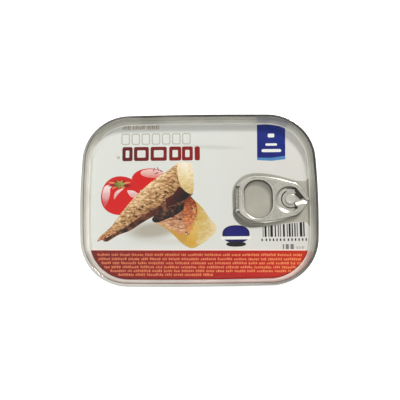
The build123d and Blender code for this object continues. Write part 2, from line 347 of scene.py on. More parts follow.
# painted shade: dark metal, with its steep sides darkened further, for the hem on the ring's lower left
HEM_SHADE_METAL = metal("hem_shade_metal", (0.21, 0.20, 0.17), 0.36, (1, 1, 1), 0.08, 0.8, 0.05, 0.50, 0.4)
# painted shade: the tab's steep sides are darkened to 0.13 of its tone
TAB_METAL = metal("tab_metal", (0.60, 0.585, 0.515), 0.27, (1, 1, 1), 0.04, 0.6, 0.02, 0.52, 0.13)
BASE_METAL = metal("base_metal", (0.66, 0.65, 0.60), 0.36, (0.4, 2.2, 1), 0.10, 1.0, 0.02, 0.92)

# ---------------------------------------------------------------- can body ----
inner = [(20.0, 0.8), (16.2, 0.8), (15.3, 0.62), (14.9, 0.40), (14.5, 0.32), (14.1, 0.40), (13.7, 0.62), (12.8, 0.8)]
base = fillet_line([(12.0, 0.8), (9.70, 0.8), (9.25, 0.0), (5.3, 0.0)], [0.5, 0.35], 5)
foot = arc((5.25, 2.6), 2.6, 270, 180, 12)          # drawn as inset from the seam edge
foot = [(5.25 - 2.6 * math.sin(math.radians(a)), 2.6 - 2.6 * math.cos(math.radians(a))) for a in np.linspace(0, 90, 13)]
wall = fillet_line([(2.65, 3.2), (2.62, 4.6), (1.38, 5.75), (1.20, 20.95)], [0.9, 0.9], 6)
mid = [(1.38 + (1.20 - 1.38) * k / 6, 5.75 + (20.95 - 5.75) * k / 6) for k in range(1, 6)]
wall = wall[:-1] + [p for p in mid if p[1] > wall[-2][1] + 0.5] + [wall[-1]]
top = [(1.5, 20.95), (1.5, 18.7)]
body_profile = inner + base + foot[1:] + wall + top
nb = len(inner) + len(base)
can_body = swept_ring(
    "can_body_shell", body_profile, [BODY_METAL, BASE_METAL],
    mat_of=lambda j: 1 if j < nb else 0, closed=False,
    caps=[(0, False), (len(body_profile) - 1, True)], sharp_deg=50)
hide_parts("can_body")
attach(can_body, "root")

# --------------------------------------------------------- seam and groove ----
# Tangent from the seam's inner lip to the groove, in the (inset, z) plane.
lip = np.array([SEAM_T, H - SEAM_ROLL])
reach = float(np.linalg.norm(lip - GROOVE))
chuck_deg = math.degrees(math.atan2(*(lip - GROOVE)[::-1])) + math.degrees(math.acos(GROOVE_R / reach))
turn_deg = math.degrees(math.atan2(*(EDGE - GROOVE)[::-1]))
chuck_low = GROOVE + GROOVE_R * np.array([math.cos(math.radians(chuck_deg)), math.sin(math.radians(chuck_deg))])
back_low = GROOVE + (GROOVE_R + SHEET) * np.array([math.cos(math.radians(chuck_deg)), math.sin(math.radians(chuck_deg))])
slope = (lip[0] - chuck_low[0]) / (lip[1] - chuck_low[1])
back_top = np.array([back_low[0] + slope * (H - SEAM_H - back_low[1]), H - SEAM_H])
seam = [(0.32, H - SEAM_H)]
seam += [(0.32 - 0.3 * math.sin(math.radians(a)), H - SEAM_H + 0.3 - 0.3 * math.cos(math.radians(a))) for a in (20, 40, 60, 80)]
seam += [(0.0, H - SEAM_H + 0.55), (0.0, H - 1.9), (0.0, H - 1.2), (0.0, H - 0.6)]
seam += [(0.24 - 0.24 * math.cos(math.radians(a)), H - 0.26 + 0.26 * math.sin(math.radians(a))) for a in range(0, 90, 9)]
seam += [(0.24, H), (0.30, H), (1.10, H)]
seam += [(SEAM_T - 0.32 + 0.32 * math.sin(math.radians(a)), H - SEAM_ROLL + SEAM_ROLL * math.cos(math.radians(a))) for a in range(0, 91, 9)]
chuck = [tuple(lip + (chuck_low - lip) * k / 6) for k in range(1, 6)]
groove = arc(GROOVE, GROOVE_R, chuck_deg, 270, 9)
under = arc(GROOVE, GROOVE_R + SHEET, 270, chuck_deg, 6)
rim_profile = seam + chuck + groove + under + [tuple(back_top)]
rim = swept_ring("lid_rim", rim_profile, [SEAM_METAL, CHUCK_METAL, GROOVE_METAL], mat_of=lambda j: 0 if j < len(seam) - 3 else 1 if j < len(seam) + 2 else 2, closed=True, sharp_deg=55)
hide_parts("lid")
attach(rim, "root")


# ------------------------------------------------------------ printed lid ----
EXPOSURE_SPEC = 0.022


def ink(r, g, b):
    """Albedo of a printed colour, given how it looks under the studio light."""
    return tuple(max(0.004, (c - EXPOSURE_SPEC) * 0.97) for c in srgb(r, g, b))


def print_mat(name, colour, rough=0.34):
    m = Mat(name, rough, 0.0, 1.45)
    m.base_ink = colour
    return m


def finish_print(m, colour, fine=0.5, relief=0.25):
    """Ink on lacquered sheet: fine mottle, slight orange peel, uneven gloss."""
    mottle = m.noise(2.2, 3, 0.6)
    slow = m.noise(0.11, 2, 0.5)
    dark = m.mix(0.06 * fine, colour, (0.0, 0.0, 0.0)) if isinstance(colour, tuple) else colour
    m.colour(m.mix(m.ramp_value(mottle, 0.35, 0.65, 0.0, 0.10 * fine), colour, (0.02, 0.02, 0.02)))
    m.link(m.ramp_value(slow, 0.3, 0.7, 0.30, 0.42), m.p.inputs["Roughness"])
    peel = m.noise(1.1, 2, 0.5)
    m.bump(m.maths("ADD", m.maths("MULTIPLY", peel, relief), m.maths("MULTIPLY", slow, 1.6)), 0.05)
    return m.m


def soft_oval(m, cx, cy, rx, ry, tilt=0.0, edge=0.6):
    """1 inside a soft oval, 0 outside."""
    v = m.mapped(loc=(cx, cy, 0.0), rot=(0, 0, math.radians(tilt)), scale=(rx, ry, 1e6))
    v.node.vector_type = "TEXTURE"
    flat = m.node("ShaderNodeVectorMath", operation="LENGTH")
    m.link(v, flat.inputs[0])
    return m.ramp_value(flat.outputs["Value"], 1.0 + edge, 1.0 - edge, 0.0, 1.0, smooth=True)


def along(m, x0, y0, x1, y1):
    """0 at the first point, 1 at the second, measured along the line."""
    dx, dy = x1 - x0, y1 - y0
    L2 = dx * dx + dy * dy
    d = m.node("ShaderNodeVectorMath", operation="DOT_PRODUCT")
    m.link(m.coords(), d.inputs[0])
    d.inputs[1].default_value = (dx / L2, dy / L2, 0.0)
    return m.maths("ADD", d.outputs["Value"], -(x0 * dx + y0 * dy) / L2)


def make_white():
    m = print_mat("print_white", None)
    # painted shade: the white is darkened a little from the left end to the right end
    t = along(m, -48, 0, 48, 0)
    base = m.ramp(t, [(0.0, ink(226, 228, 222)), (0.5, ink(222, 224, 218)), (1.0, ink(218, 215, 209))])
    # the grey shade printed under the food
    base = m.mix(m.maths("MULTIPLY", soft_oval(m, -20.5, -13.4, 10.5, 3.6, 6, 0.5), 0.85), base, ink(172, 163, 146))
    base = m.mix(m.maths("MULTIPLY", soft_oval(m, -15.0, -18.6, 15.0, 1.4, 0, 0.8), 0.30), base, ink(190, 184, 172))
    base = m.mix(m.maths("MULTIPLY", soft_oval(m, 6.5, 24.4, 12.0, 0.9, -3, 0.7), 0.5), base, ink(196, 196, 190))
    return finish_print(m, base, 0.35, 0.2)


def make_red():
    m = print_mat("print_red", None)
    t = along(m, -46, -20, 46, -36)
    base = m.ramp(t, [(0.0, ink(112, 22, 12)), (0.45, ink(160, 36, 15)), (0.75, ink(186, 44, 18)), (1.0, ink(196, 62, 30))])
    grain = m.noise(0.7, 3, 0.55, vec=m.mapped(scale=(0.6, 2.5, 1)))
    base = m.mix(m.ramp_value(grain, 0.4, 0.7, 0.0, 0.28), base, ink(206, 70, 44))
    return finish_print(m, base, 0.5, 0.3)


def plain_ink(name, col, fine=0.5):
    return finish_print(print_mat(name, col), ink(*col), fine)


def make_skin(name, dark, mid, light, axis_deg, grade, scale=1.0):
    """Cooked fish skin: short scaly flecks lying along the fish, from a dark
    underside to a pale back. grade is the along() line from dark to pale."""
    m = print_mat(name, None)
    rot = math.radians(axis_deg)
    v = m.mapped(rot=(0, 0, -rot), scale=(0.55 * scale, 1.15 * scale, 1))
    warp = m.noise(0.8, 2, 0.6, colour=True)
    add = m.node("ShaderNodeVectorMath", operation="MULTIPLY_ADD")
    m.link(warp, add.inputs[0])
    add.inputs[1].default_value = (1.8, 1.8, 0)
    m.link(v, add.inputs[2])
    cells = m.voronoi(1.0, vec=add.outputs[0])
    sep = m.axis(cells.outputs["Color"], 0)
    tone = m.noise(1.5, 4, 0.7, vec=v)
    g = along(m, *grade)
    k = m.maths("MULTIPLY_ADD", g, 0.62, -0.02)
    k = m.maths("ADD", k, m.maths("MULTIPLY_ADD", tone, 0.9, -0.36))
    k = m.maths("ADD", k, m.maths("MULTIPLY_ADD", sep, 0.34, -0.12))
    k = m.maths("ADD", k, m.maths("MULTIPLY", m.ramp_value(cells.outputs["Distance"], 0.45, 0.95), -0.38))
    base = m.ramp(k, [(0.05, ink(*dark)), (0.42, ink(*mid)), (0.80, ink(*light))])
    patch = m.noise(0.35, 2, 0.5)
    base = m.mix(m.ramp_value(patch, 0.5, 0.68, 0.0, 0.3), base, ink(206, 140, 104))
    return finish_print(m, base, 0.3, 0.5)


def make_flesh(name, edge_col, mid_col, light_col, line):
    m = print_mat(name, None)
    n = m.noise(0.62, 5, 0.7, vec=m.mapped(rot=(0, 0, 0.9), scale=(0.7, 1.5, 1)))
    k = m.maths("ADD", m.maths("MULTIPLY", along(m, *line), 0.70), m.maths("MULTIPLY_ADD", n, 1.7, -0.62))
    base = m.ramp(k, [(0.12, ink(*edge_col)), (0.5, ink(*mid_col)), (0.95, ink(*light_col))])
    return finish_print(m, base, 0.3, 0.4)


def make_tomato(name, cx, cy, r):
    m = print_mat(name, None)
    rim = soft_oval(m, cx, cy - 0.5, r, r, 0, 0.22)
    base = m.mix(rim, ink(196, 66, 62), ink(214, 40, 40))
    base = m.mix(m.maths("MULTIPLY", soft_oval(m, cx - 0.4, cy - 0.30 * r, 0.62 * r, 0.5 * r, 0, 0.6), 0.8), base, ink(213, 32, 34))
    return finish_print(m, base, 0.3, 0.2)


def make_gloss(name, a, b, line):
    m = print_mat(name, None)
    k = m.maths("ADD", along(m, *line), m.maths("MULTIPLY", m.maths("SUBTRACT", m.noise(0.8, 2, 0.5), 0.5), 0.5))
    return finish_print(m, m.ramp(k, [(0.0, ink(*a)), (1.0, ink(*b))]), 0.2, 0.2)


PALETTE = {
    "white": make_white(),
    # painted highlight: a whiter print on the panel's rolled edge, all round
    "edge_highlight": plain_ink("print_edge_highlight", (240, 240, 235), 0.2),
    "bare": PANEL_METAL,
    "shade": SHADE_METAL,
    "tab_shadow": TAB_SHADOW_METAL,
    "red": make_red(),
    "cream": plain_ink("print_cream", (246, 226, 214), 0.2),
    "salmon": make_gloss("print_salmon", (214, 124, 86), (238, 142, 92), (-46, 0, 46, 0)),
    "maroon": make_gloss("print_maroon", (98, 12, 26), (144, 18, 30), (-35, 25, 0, 18)),
    "pale_grey": plain_ink("print_pale_grey", (186, 183, 172), 0.4),
    "stone": plain_ink("print_stone", (178, 170, 152), 0.6),
    "blue": make_gloss("print_blue", (24, 44, 112), (28, 62, 140), (26, 18, 40, 35)),
    "sky": plain_ink("print_sky", (84, 136, 188), 0.3),
    "paper": plain_ink("print_paper", (236, 236, 230), 0.2),
    "navy": plain_ink("print_navy", (40, 44, 88), 0.4),
    "char": plain_ink("print_char", (48, 46, 48), 0.5),
    "grey": plain_ink("print_grey", (128, 125, 122), 0.5),
    "skin": make_skin("print_skin", (64, 30, 8), (194, 148, 98), (250, 224, 180), 42, (-18.0, -9.0, -29.0, 4.0), 1.3),
    "under": make_skin("print_under", (32, 10, 2), (104, 58, 30), (176, 126, 90), 36, (-17, -8, -22, 2), 1.1),
    "plum": make_gloss("print_plum", (46, 12, 4), (100, 50, 30), (-8, 0, -14, 4)),
    "cut": make_flesh("print_cut", (206, 176, 116), (228, 205, 150), (246, 230, 202), (-5, 4, -5, 16)),
    "fat": make_gloss("print_fat", (236, 220, 176), (250, 238, 226), (-8, 13, -5, 17)),
    "skin_two": make_skin("print_skin_two", (70, 28, 10), (176, 116, 84), (226, 188, 150), -30, (-6.0, -1.0, -9.0, -14.5), 1.2),
    "orange": make_skin("print_orange", (132, 62, 26), (192, 114, 72), (232, 152, 104), -55, (-3, -1, -6, -12), 1.3),
    "flesh": make_flesh("print_flesh", (202, 154, 74), (208, 176, 102), (228, 208, 162), (-4, -12, 6, -15)),
    "yolk": make_gloss("print_yolk", (212, 164, 70), (218, 182, 100), (-4, -19, -3, -14)),
    "tomato": make_tomato("print_tomato", -35.2, 2.4, 9.2),
    "tomato_two": make_tomato("print_tomato_two", -23.0, 9.0, 7.6),
    "pink": make_gloss("print_pink", (206, 96, 96), (246, 226, 222), (-42.5, -1, -42.5, 6)),
    "pink_two": make_gloss("print_pink_two", (216, 100, 92), (240, 208, 200), (-22, 9.6, -22, 14.4)),
    "leaf": make_gloss("print_leaf", (92, 104, 38), (172, 178, 100), (-38, 6, -34, 9)),
    "peach": plain_ink("print_peach", (222, 140, 104), 0.3),
    "rust": plain_ink("print_rust", (134, 44, 26), 0.3),
}
NAMES = list(PALETTE)
layers = []                       # (outline, palette index), lowest first


def put(name, outline):
    layers.append(([(float(x), float(y)) for x, y in outline], NAMES.index(name)))


def curve_through(points, closed=True, n=5):
    """A smooth line through the points (Catmull-Rom)."""
    p = np.array(points, float)
    out = []
    m = len(p)
    for i in range(m if closed else m - 1):
        if closed:
            a, b, c, d = p[i - 1], p[i], p[(i + 1) % m], p[(i + 2) % m]
        else:
            a, b, c, d = p[max(i - 1, 0)], p[i], p[i + 1], p[min(i + 2, m - 1)]
        for k in range(n):
            t = k / n
            out.append(0.5 * (2 * b + (c - a) * t + (2 * a - 5 * b + 4 * c - d) * t * t + (3 * b - a - 3 * c + d) * t ** 3))
    if not closed:
        out.append(p[-1])
    return np.array(out)


def tapered(spine, halves, n=5):
    """Outline of a tapering body: a centre line with a half width at each of
    its points."""
    s = curve_through([(x, y, h) for (x, y), h in zip(spine, halves)], False, n)
    d = np.gradient(s[:, :2], axis=0)
    d /= np.linalg.norm(d, axis=1)[:, None]
    nrm = np.c_[-d[:, 1], d[:, 0]]
    left, right = s[:, :2] + nrm * s[:, 2:], s[:, :2] - nrm * s[:, 2:]
    return np.vstack([left, right[::-1]])


def oval(cx, cy, rx, ry, tilt=0.0, n=36, power=2.0, wobble=0.0, lobes=5):
    t = np.linspace(0, 2 * math.pi, n, endpoint=False)
    c, s = np.cos(t), np.sin(t)
    k = 1 + wobble * np.cos(lobes * t + 0.7)
    x = rx * np.sign(c) * np.abs(c) ** (2 / power) * k
    y = ry * np.sign(s) * np.abs(s) ** (2 / power) * k
    a = math.radians(tilt)
    return np.c_[cx + x * math.cos(a) - y * math.sin(a), cy + x * math.sin(a) + y * math.cos(a)]


def block(x0, y0, x1, y1, r=0.0, slant=0.0, rise=0.0):
    """A rectangle with rounded corners; slant leans it, rise tilts its rows."""
    pts = []
    if r <= 0:
        pts = [(x0, y0), (x1, y0), (x1, y1), (x0, y1)]
    else:
        for cx, cy, a in ((x1 - r, y0 + r, -90), (x1 - r, y1 - r, 0), (x0 + r, y1 - r, 90), (x0 + r, y0 + r, 180)):
            pts += [(cx + r * math.cos(math.radians(a + b)), cy + r * math.sin(math.radians(a + b))) for b in (0, 30, 60, 90)]
    return [(x + slant * (y - y0), y + rise * (x - x0)) for x, y in pts]


PRINT_IN = 3.2                    # the print stops this far in, at the groove's foot
# bare metal under the ring and out to the right-hand edge
bare = curve_through([(15.0, -3.0), (15.3, 5.2), (18.5, 9.8), (23.0, 11.8), (29.0, 12.0), (36.0, 10.7), (44.0, 8.4)], False, 5)
bare = np.vstack([bare, [(47.6, 8.2), (48.6, 8.6), (49.2, 9.6), (60.0, 9.8), (60.0, -12.4), (49.2, -12.2), (48.6, -11.2), (47.2, -10.4), (45.2, -10.3), (36.0, -11.3), (27.6, -12.6), (22.0, -12.4), (18.0, -10.2), (15.6, -6.6)]])
put("bare", bare)

# painted shadow: a dark crescent under the tab's lower left edge, where its shadow falls
put("tab_shadow", tapered([(15.7, -4.2), (16.0, -6.6), (17.6, -9.3), (20.2, -11.3), (24.0, -12.2), (28.6, -12.0)], [0.35, 0.9, 1.15, 1.0, 0.6, 0.15]))
put("shade", oval(42.2, 0.3, 5.4, 5.0, 0, 36))      # painted shade: near-black metal on the panel under the nose of the ring, seen through the slot and window

# tomatoes
put("tomato_two", oval(-23.0, 9.6, 7.6, 5.2, 4, 32, 2.2))
put("pink_two", oval(-21.2, 12.4, 5.4, 2.0, -4, 24))
for dx, dy, a in ((-20.4, 14.2, 70), (-18.6, 14.6, 115), (-17.2, 13.6, 150), (-19.2, 12.6, 20)):
    put("rust", oval(dx, dy, 1.0, 0.22, a, 12))
put("tomato", oval(-35.4, 2.3, 9.0, 8.9, -8, 44, 2.15, 0.012, 3))
put("pink", tapered([(-42.6, -2.4), (-42.2, 1.6), (-41.6, 5.6), (-39.6, 7.0)], [0.4, 1.6, 1.5, 0.3]))
put("pink", tapered([(-38.4, 0.8), (-37.2, 3.6), (-34.4, 5.6)], [0.25, 0.75, 0.2]))
put("pink", tapered([(-32.4, 4.6), (-30.2, 3.2), (-28.0, 2.0)], [0.3, 1.5, 1.2]))
for k in range(11):
    a = math.radians(-14 + k * 34.5)
    r0, r1 = 1.2, (3.0 + 2.6 * abs(math.cos(a))) * (1.0 + 0.18 * math.sin(3.1 * k))
    c, s = math.cos(a), 0.52 * math.sin(a)
    put("peach" if k % 2 else "rust", tapered([(-36.0 + r0 * c, 7.5 + r0 * s), (-36.0 + 0.55 * (r0 + r1) * c, 7.6 + 0.55 * (r0 + r1) * s), (-36.0 + r1 * c, 7.3 + r1 * s)], [0.25, 0.42, 0.08], 4))
for k, a in enumerate((12, 62, 118, 164, 205, 262, 322)):
    c, s = math.cos(math.radians(a)), 0.75 * math.sin(math.radians(a))
    put("leaf", tapered([(-36.0, 7.5), (-36.0 + 1.3 * c, 7.5 + 1.3 * s), (-36.0 + 3.0 * c, 7.4 + 3.0 * s)], [0.5, 0.55, 0.08], 4))
put("leaf", oval(-36.0, 7.5, 1.3, 0.95, 10, 16))

# back piece of fish
put("flesh", curve_through([(-20.8, -7.6), (-12.0, -1.0), (-5.8, 2.4), (-2.8, 0.5), (0.2, -2.2), (2.2, -4.6), (4.6, -8.4), (7.2, -11.4), (7.4, -14.2), (4.6, -17.2), (0.4, -20.2), (-3.4, -21.8), (-7.4, -19.8), (-11.4, -15.9), (-15.4, -12.4), (-19.8, -10.2)], n=4))
put("skin_two", curve_through([(-20.8, -7.6), (-12.0, -1.0), (-5.8, 2.4), (-2.6, 0.4), (-1.0, -3.2), (-1.8, -7.4), (-3.2, -11.2), (-4.4, -14.6), (-8.2, -15.2), (-12.4, -13.4), (-16.2, -11.4), (-19.8, -10.2)], n=4))
put("under", curve_through([(-20.8, -7.6), (-12.0, -1.0), (-6.6, 1.6), (-5.8, -2.6), (-10.0, -6.4), (-15.4, -8.8), (-19.6, -10.1)], n=4))
put("orange", curve_through([(-6.6, -1.2), (-5.2, 1.4), (-2.6, 0.0), (-0.9, -3.4), (-1.5, -7.6), (-3.2, -12.4), (-4.6, -14.4), (-6.4, -11.2), (-7.0, -6.2)], n=4))
put("yolk", curve_through([(-4.6, -15.6), (-2.8, -12.0), (-1.2, -8.6), (-0.4, -12.4), (-1.2, -17.2), (-2.2, -20.2), (-4.6, -20.4), (-5.8, -18.2)], n=4))

r = random.Random(61)
for _ in range(46):
    t = r.uniform(0.16, 1.0)
    x, y = -1.6 - 2.4 * t * t + r.uniform(-1.5, 0.9), -0.6 - 13.0 * t + r.uniform(-0.8, 0.4)
    put(r.choice(("orange", "peach", "skin_two", "flesh")), oval(x, y, r.uniform(0.35, 0.85), r.uniform(0.2, 0.42), r.uniform(-80, -30), 8))
for _ in range(26):
    t = r.random()
    x, y = -12.8 + 8.4 * t + r.uniform(-0.6, 0.6), -12.9 - 2.0 * t + r.uniform(-0.9, 0.7)
    put(r.choice(("skin_two", "flesh", "peach")), oval(x, y, r.uniform(0.4, 0.95), r.uniform(0.2, 0.4), r.uniform(-50, 0), 8))

# front piece of fish: a tapering body, its shaded underside and cut end
put("skin", curve_through([(-45.7, -18.4), (-44.2, -15.8), (-39.4, -11.5), (-35.4, -6.0), (-30.2, 0.4), (-24.0, 6.5), (-19.1, 10.4), (-13.7, 14.0), (-9.2, 17.2), (-6.4, 16.0), (-5.2, 8.0), (-2.8, 3.4), (-5.4, 0.8), (-13.7, -3.6), (-21.3, -7.4), (-27.0, -11.0), (-31.4, -13.8), (-36.0, -15.4), (-41.2, -18.4), (-43.4, -17.6)], n=4))
put("under", curve_through([(-43.0, -17.7), (-38.0, -14.8), (-33.4, -12.2), (-28.4, -8.6), (-22.0, -4.6), (-15.4, -1.4), (-12.4, -2.8), (-17.4, -5.6), (-23.0, -8.6), (-28.4, -11.8), (-32.4, -14.1), (-37.0, -15.8), (-41.2, -18.3)], n=4))
put("plum", curve_through([(-15.2, 0.4), (-11.4, 3.0), (-9.2, 6.2), (-7.6, 5.2), (-4.2, 2.9), (-6.0, 0.6), (-9.8, -1.2), (-13.7, -2.6)], n=4))
put("cut", curve_through([(-9.4, 17.2), (-6.0, 17.6), (-3.2, 16.3), (-2.4, 10.6), (-2.6, 4.0), (-4.2, 2.9), (-7.2, 5.0), (-8.8, 8.0), (-9.8, 12.4)], n=4))
put("fat", curve_through([(-9.0, 16.6), (-5.8, 17.2), (-4.6, 14.8), (-5.2, 11.6), (-7.6, 12.8)], n=4))

for _ in range(34):
    t = r.random()
    x, y = -44.4 + 6.3 * t + r.uniform(-0.3, 0.3), -17.5 + 3.6 * t + r.uniform(-0.7, 0.7)
    put(r.choice(("rust", "peach", "under", "skin")), oval(x, y, r.uniform(0.3, 0.7), r.uniform(0.14, 0.3), r.uniform(10, 60), 8))

# red band along the bottom with a pale line above it
slope = (-23.2 + 22.2) / 96.1
put("cream", [(-60, -21.75 - 12 * slope), (60, -21.75 + 108 * slope), (60, -60), (-60, -60)])
put("red", [(-60, -22.25 - 12 * slope), (60, -22.25 + 108 * slope), (60, -60), (-60, -60)])


def text_row(y, x0, x1, name="salmon", size=1.05, rise=slope, seed=0):
    """A line of small print as rows of plain blocks in word groups."""
    r = random.Random(900 + seed)
    x = x0
    while x < x1:
        for _ in range(r.randint(3, 9)):
            w = r.choice((0.42, 0.5, 0.6, 0.6, 0.75))
            if x + w > x1:
                break
            h = size * r.choice((0.72, 0.8, 1.0, 1.0, 0.9))
            lo = y + rise * (x - x0) + size * 0.5 * r.choice((-1, -1, -0.9)) + r.choice((0, 0, 0.08))
            put(name, block(x, lo, x + w, lo + h, 0.0))
            x += w + 0.26
        x += 0.62


for k, (y, x0, x1) in enumerate(((-24.25, -45.5, 45.9), (-26.15, -45.0, 46.2), (-27.95, -43.6, 45.6), (-29.75, -42.3, 44.6), (-31.45, -39.6, 42.4), (-33.15, -36.0, 6.1))):
    text_row(y, x0, x1, seed=k)

# headings: plain bars and frames
text_row(34.05, -35.0, -18.0, "stone", 2.1, 0.0, 40)
for k in range(7):
    x = -35.4 + k * 4.64
    outer = block(x, 25.9, x + 3.9, 31.2, 0.9)
    put("pale_grey", outer)
    put("white", block(x + 0.48, 26.38, x + 3.42, 30.72, 0.55))
for x0, x1 in ((-34.9, -30.2), (-29.6, -22.8), (-22.0, -14.6), (-13.5, -8.0), (-7.7, -2.7), (-1.9, 0.5)):
    put("maroon", block(x0, 18.3, x1, 24.9, 0.8))
    if x1 - x0 > 4:
        put("white", block(x0 + 1.5, 19.9, x1 - 1.5, 23.3, 0.4))
put("pale_grey", oval(-36.7, 20.0, 0.7, 0.7, 0, 14))

# blue patch with a pale foot and two bars
put("blue", curve_through([(26.8, 35.0), (31.0, 35.2), (35.8, 34.6), (39.7, 33.6)], False, 3).tolist() + [(39.3, 18.4), (33.0, 17.7), (26.5, 18.1)])
put("sky", [(39.34, 20.0), (39.3, 18.4), (33.0, 17.7), (26.5, 18.1), (26.53, 19.3), (33.0, 19.1)])
put("paper", block(28.6, 21.8, 37.6, 23.2, 0.7))
put("paper", block(30.4, 24.8, 35.8, 25.9, 0.55))
put("paper", block(31.6, 28.7, 34.6, 30.5, 0.5))

# round two-colour badge
put("navy", oval(16.3, -15.6, 6.1, 4.0, 0, 40, 2.3))
put("blue", oval(16.3, -14.7, 5.0, 2.5, 0, 32, 2.3))
put("paper", block(9.6, -18.0, 23.0, -16.6, 0.6))
put("char", oval(16.3, -20.1, 4.4, 1.15, 0, 30, 2.2))

# bar block, its row of dashes, and the weight
r = random.Random(31)
x = 28.2
while x < 46.8:
    w = r.choice((0.45, 0.6, 0.6, 0.9, 1.15))
    put(r.choice(("char", "char", "char", "grey")), [(x, -17.0), (x + w, -17.0), (x + w, -12.3 + (x + w - 27.8) * 0.1), (x, -12.3 + (x - 27.8) * 0.1)])
    x += w + r.choice((0.42, 0.6, 0.8))
x = 27.6
for k in range(13):
    put("char", block(x, -18.9, x + 0.62, -17.75, 0.0))
    x += 1.58 if k not in (0, 6) else 1.9
for x0, x1, y0, y1, n in ((37.0, 37.6, -22.6, -20.3, "grey"), (38.3, 39.7, -22.6, -20.3, "grey"), (40.4, 41.9, -22.6, -20.3, "grey"), (43.0, 43.8, -22.5, -21.3, "pale_grey"), (44.1, 44.9, -22.5, -21.3, "pale_grey"), (45.3, 46.4, -22.5, -21.3, "pale_grey")):
    put(n, block(x0, y0, x1, y1, 0.25))


def panel_height(u):
    """Top of the sheet at an inset: inner half of the groove, rolled edge, flat
    panel and the score line round it."""
    e = np.clip(EDGE[0] - u, 0, EDGE_R)
    g = np.clip(u - GROOVE[0], 0, GROOVE_R)
    z = np.where(u < EDGE[0], EDGE[1] + np.sqrt(EDGE_R ** 2 - e ** 2), PANEL_Z)
    z = np.where(u < TURN[0], GROOVE[1] - np.sqrt(GROOVE_R ** 2 - g ** 2), z)
    s = np.abs(u - SCORE_IN) / 0.16
    return z - np.where(s < 1, 0.03 * (0.5 + 0.5 * np.cos(math.pi * np.minimum(s, 1))), 0)


def build_panel():
    pts, edges, faces = [], [], []

    def loop(xy, as_face=True):
        k = len(pts)
        pts.extend(Vector((float(a), float(b))) for a, b in xy)
        idx = list(range(k, len(pts)))
        if as_face:
            faces.append(idx)
        else:
            edges.extend((idx[i], idx[(i + 1) % len(idx)]) for i in range(len(idx)))

    T = TURN[0]
    loop(ring(GROOVE[0], 0)[:, :2])
    for u in (3.36, 3.5, 3.63, 3.725, 3.79, 3.825, T, T + 0.012, T + 0.045, T + 0.10, T + 0.19, T + 0.32, T + 0.46, EDGE[0], SCORE_IN - 0.16, SCORE_IN - 0.08, SCORE_IN, SCORE_IN + 0.08, SCORE_IN + 0.16):
        loop(ring(u, 0)[:, :2], False)
    for outline, _ in layers:
        q = np.array(outline)
        area = 0.5 * np.sum(q[:, 0] * np.roll(q[:, 1], -1) - np.roll(q[:, 0], -1) * q[:, 1])
        loop(q if area > 0 else q[::-1])
    v2, _, f2, _, _, of = delaunay_2d_cdt(pts, edges, faces, 1, 1e-5, True)
    xy = np.array([(v.x, v.y) for v in v2])
    keep = [(f, max(o)) for f, o in zip(f2, of) if 0 in o]
    mats = []
    for f, m in keep:
        mid = xy[list(f)].mean(0)
        u = float(inset_of(mid[:1], mid[1:])[0][0])
        if m == 0:
            # painted highlight: print on the rolled edge takes the whiter edge ink
            mats.append(NAMES.index("edge_highlight" if u < 4.28 else "white"))
        else:
            mats.append(layers[m - 1][1])
    tris = [list(f) for f, _ in keep]
    return xy, tris, mats


def panel_object():
    xy, tris, mats = build_panel()
    used = np.unique(np.array([i for t in tris for i in t]))
    remap = -np.ones(len(xy), int)
    remap[used] = np.arange(len(used))
    xy = xy[used]
    tris = [[int(remap[i]) for i in t] for t in tris]
    good, gm = [], []
    for t, m in zip(tris, mats):
        p = xy[t]
        area = 0.5 * float(np.sum(p[:, 0] * np.roll(p[:, 1], -1) - np.roll(p[:, 0], -1) * p[:, 1]))
        if area < 0:
            t = t[::-1]
        good.append(t)
        gm.append(m)
    u, nx, ny = inset_of(xy[:, 0], xy[:, 1])
    u = np.maximum(u, GROOVE[0])
    z = panel_height(u)
    e = 1e-3
    slope_u = (panel_height(u + e) - panel_height(np.maximum(u - e, GROOVE[0]))) / (u + e - np.maximum(u - e, GROOVE[0]))
    nrm = np.c_[nx * slope_u, ny * slope_u, np.ones(len(u))]
    nrm /= np.linalg.norm(nrm, axis=1)[:, None]
    verts = [tuple(v) for v in np.c_[xy, z]]
    # the open edge of the top, in order
    nxt = {}
    seen = {}
    for t in good:
        for a, b in zip(t, t[1:] + t[:1]):
            seen[(a, b)] = 1
    for a, b in seen:
        if (b, a) not in seen:
            nxt[a] = b
    start = next(iter(nxt))
    rim_loop = [start]
    while nxt[rim_loop[-1]] != start:
        rim_loop.append(nxt[rim_loop[-1]])
    normals = [tuple(v) for v in nrm]
    faces = list(good)
    prev = rim_loop
    below = [(GROOVE, GROOVE_R + SHEET, a, -1) for a in (270.0, 290.0, 310.0, 330.0, 350.8)]
    below += [(EDGE, EDGE_R - SHEET, a, 1) for a in (150.0, 130.0, 110.0, 90.0)]
    for cen, rad, a, sgn in below:
        du = cen[0] + rad * math.cos(math.radians(a)) - GROOVE[0]
        zz = cen[1] + rad * math.sin(math.radians(a))
        cur = []
        for i in rim_loop:
            cur.append(len(verts))
            verts.append((xy[i][0] - nx[i] * du, xy[i][1] - ny[i] * du, zz))
            c, w = -sgn * math.cos(math.radians(a)), -sgn * math.sin(math.radians(a))
            normals.append((-nx[i] * c, -ny[i] * c, w))
        for k in range(len(rim_loop)):
            k2 = (k + 1) % len(rim_loop)
            faces.append([prev[k2], prev[k], cur[k], cur[k2]])
            gm.append(NAMES.index("bare"))
        prev = cur
    faces.append(prev[::-1])
    gm.append(NAMES.index("bare"))
    return mesh_object("lid_panel", verts, faces, [PALETTE[n] for n in NAMES], gm, normals=normals)


panel = panel_object()
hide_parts("lid")
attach(panel, "root")


